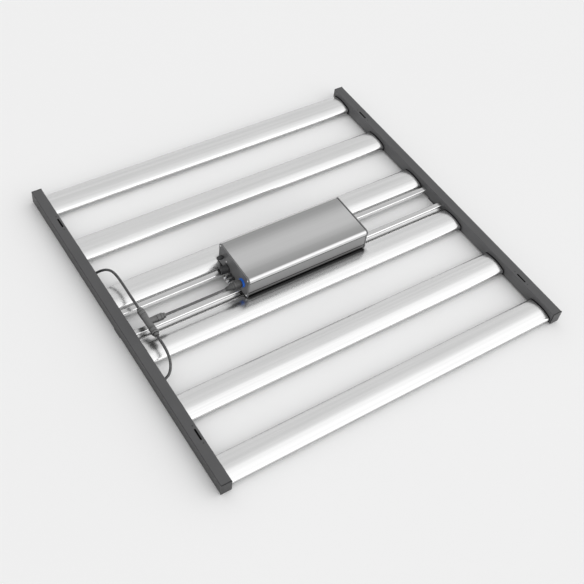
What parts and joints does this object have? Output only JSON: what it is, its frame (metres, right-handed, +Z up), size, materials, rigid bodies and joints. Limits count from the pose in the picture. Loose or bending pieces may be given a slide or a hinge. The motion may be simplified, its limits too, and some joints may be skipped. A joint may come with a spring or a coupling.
{
  "type": "led grow light",
  "caption": "Flat square greenhouse light: domed aluminium light bars between two end rails, a driver on two rods in the middle, and leads to a splitter.",
  "frame": {"origin": "on the ground under the middle of the frame, level with the undersides of the rail pads", "axes": "+X along the light bars, away from the dimmer's end of the driver; +Y along the rails; +Z up, away from the side that the light leaves"},
  "size_m": [1.1, 1.09, 0.101],
  "materials": {
    "rail_coat": "fine-textured anthracite powder coat",
    "cap_plastic": "moulded dark grey",
    "bar_aluminium": "bright anodised, drawn lengthwise",
    "rod_aluminium": "bright anodised, drawn lengthwise",
    "driver_aluminium": "satin anodised",
    "plate_coat": "dark grey coat",
    "rubber": "matte black",
    "lead_jacket": "satin black cable jacket",
    "blue_seal": "satin blue",
    "bright_steel": "bright zinc",
    "led_board": "white solder mask",
    "lens": "frosted clear cover",
    "black_plastic": "moulded black",
    "circuit_board": "green solder mask",
    "ferrite": "ferrite core and taped winding",
    "capacitor_sleeve": "dark sleeve"
  },
  "bodies": {
    "frame": {"back_branch_lead": "lead_jacket", "back_driver_rod": "rod_aluminium", "bar_1_end_caps": "cap_plastic", "bar_1_heat_sink": "bar_aluminium", "bar_1_led_board": "led_board", "bar_1_lens": "lens", "bar_2_end_caps": "cap_plastic", "bar_2_heat_sink": "bar_aluminium", "bar_2_led_board": "led_board", "bar_2_lens": "lens", "bar_3_end_caps": "cap_plastic", "bar_3_heat_sink": "bar_aluminium", "bar_3_led_board": "led_board", "bar_3_lens": "lens", "bar_4_end_caps": "cap_plastic", "bar_4_heat_sink": "bar_aluminium", "bar_4_led_board": "led_board", "bar_4_lens": "lens", "bar_5_end_caps": "cap_plastic", "bar_5_heat_sink": "bar_aluminium", "bar_5_led_board": "led_board", "bar_5_lens": "lens", "bar_6_end_caps": "cap_plastic", "bar_6_heat_sink": "bar_aluminium", "bar_6_led_board": "led_board", "bar_6_lens": "lens", "blue_seal_ring": "blue_seal", "control_jacks": "black_plastic", "dimmer_potentiometer": "black_plastic", "driver_capacitors": "capacitor_sleeve", "driver_circuit_board": "circuit_board", "driver_gaskets": "rubber", "driver_housing": "driver_aluminium", "driver_lead": "lead_jacket", "driver_left_plate": "plate_coat", "driver_right_plate": "plate_coat", "driver_screws": "bright_steel", "driver_transformer": "ferrite", "front_branch_lead": "lead_jacket", "front_driver_rod": "rod_aluminium", "hanger_plates": "rail_coat", "hanger_rivets": "bright_steel", "inlet_pins": "bright_steel", "left_rail": "rail_coat", "mains_inlet": "black_plastic", "output_plug": "black_plastic", "output_socket": "black_plastic", "rail_end_caps": "cap_plastic", "rail_grommets": "rubber", "rail_harness": "lead_jacket", "rail_pads": "rubber", "rail_screws": "bright_steel", "right_rail": "rail_coat", "splitter_body": "black_plastic"},
    "dimmer": {"dimmer_knob": "black_plastic", "dimmer_shaft": "bright_steel"},
    "output_ring": {"output_locking_ring": "black_plastic"},
    "splitter_ring_driver": {"splitter_driver_ring": "black_plastic"},
    "splitter_ring_back": {"splitter_back_ring": "black_plastic"},
    "splitter_ring_front": {"splitter_front_ring": "black_plastic"}
  },
  "joints": [
    {"name": "dimmer_turn", "type": "hinge", "parent": "frame", "child": "dimmer", "pos_m": [-0.2, 0.055, 0.067], "axis": [1, 0, 0], "range_deg": [0, 270]},
    {"name": "output_ring_turn", "type": "hinge", "parent": "frame", "child": "output_ring", "pos_m": [-0.2145, -0.049, 0.065], "axis": [-1, 0, 0], "range_deg": [0, 90]},
    {"name": "splitter_driver_ring_turn", "type": "hinge", "parent": "frame", "child": "splitter_ring_driver", "pos_m": [-0.45, -0.049, 0.065], "axis": [1, 0, 0], "range_deg": [0, 90]},
    {"name": "splitter_back_ring_turn", "type": "hinge", "parent": "frame", "child": "splitter_ring_back", "pos_m": [-0.483, -0.016, 0.065], "axis": [0, 1, 0], "range_deg": [0, 90]},
    {"name": "splitter_front_ring_turn", "type": "hinge", "parent": "frame", "child": "splitter_ring_front", "pos_m": [-0.483, -0.082, 0.065], "axis": [0, -1, 0], "range_deg": [0, 90]}
  ]
}
